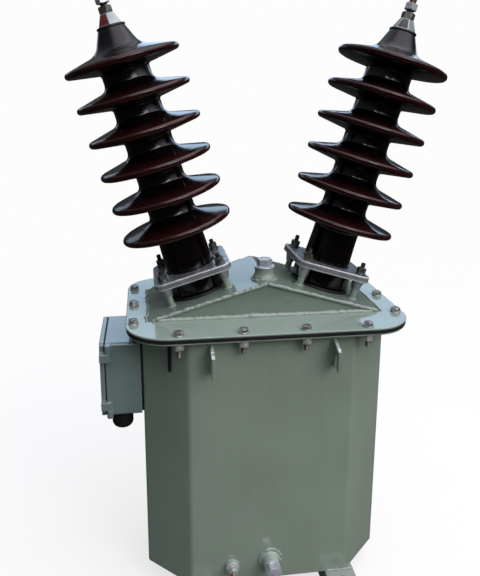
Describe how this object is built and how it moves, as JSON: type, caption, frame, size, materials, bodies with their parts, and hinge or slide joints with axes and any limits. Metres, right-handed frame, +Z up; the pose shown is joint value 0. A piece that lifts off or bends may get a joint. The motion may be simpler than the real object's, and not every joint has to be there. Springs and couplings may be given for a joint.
{
  "type": "oil-immersed voltage transformer",
  "caption": "Oil-filled voltage transformer with an octagonal sheet tank, a gabled bolted cover, inclined brown porcelain bushings and a side terminal box with a hinged lid.",
  "frame": {"origin": "on the floor under the middle of the tank, level with the underside of the base rails", "axes": "+Z up, front of the tank towards -Y, bushings lean out towards +X and -X, terminal box on the -X side"},
  "size_m": [0.6142, 0.359, 0.9948],
  "materials": {
    "tank_paint": "gloss grey-green enamel",
    "porcelain": "gloss dark brown glaze",
    "rubber": "matt black",
    "cast_aluminium": "scratched cast aluminium",
    "plated_steel": "zinc plated",
    "cap_metal": "pale grey-green",
    "brass": "dull brass",
    "box_plastic": "satin blue-grey",
    "board": "brown laminate"
  },
  "bodies": {
    "transformer": {"base_rails": "tank_paint", "tank_floor": "tank_paint", "tank_wall": "tank_paint", "tank_flange": "tank_paint", "cover_gasket": "rubber", "cover_plate": "tank_paint", "roof_sheet": "tank_paint", "roof_gables": "tank_paint", "filler_boss": "tank_paint", "filler_plug": "plated_steel", "left_base_gasket": "rubber", "right_base_gasket": "rubber", "left_porcelain": "porcelain", "right_porcelain": "porcelain", "left_packing_ring": "rubber", "right_packing_ring": "rubber", "left_clamp_flange": "cast_aluminium", "right_clamp_flange": "cast_aluminium", "left_clamp_posts": "tank_paint", "right_clamp_posts": "tank_paint", "left_cap_gasket": "rubber", "right_cap_gasket": "rubber", "left_terminal_cap": "cap_metal", "right_terminal_cap": "cap_metal", "left_terminal_stud": "brass", "right_terminal_stud": "brass", "left_terminal_nuts": "plated_steel", "right_terminal_nuts": "plated_steel", "lifting_hooks": "tank_paint", "drain_stub": "tank_paint", "drain_plug": "plated_steel", "earth_boss": "tank_paint", "earth_stud": "brass", "box_gasket": "rubber", "terminal_box": "box_plastic", "hinge_pins": "plated_steel", "terminal_board": "board", "secondary_studs": "brass", "cable_gland": "rubber"},
    "lid": {"box_lid": "box_plastic", "lid_seal": "rubber"}
  },
  "joints": [
    {"name": "lid_hinge", "type": "hinge", "parent": "transformer", "child": "lid", "pos_m": [-0.2565, -0.073, 0.38], "axis": [0, 0, 1], "range_deg": [0, 105]}
  ]
}
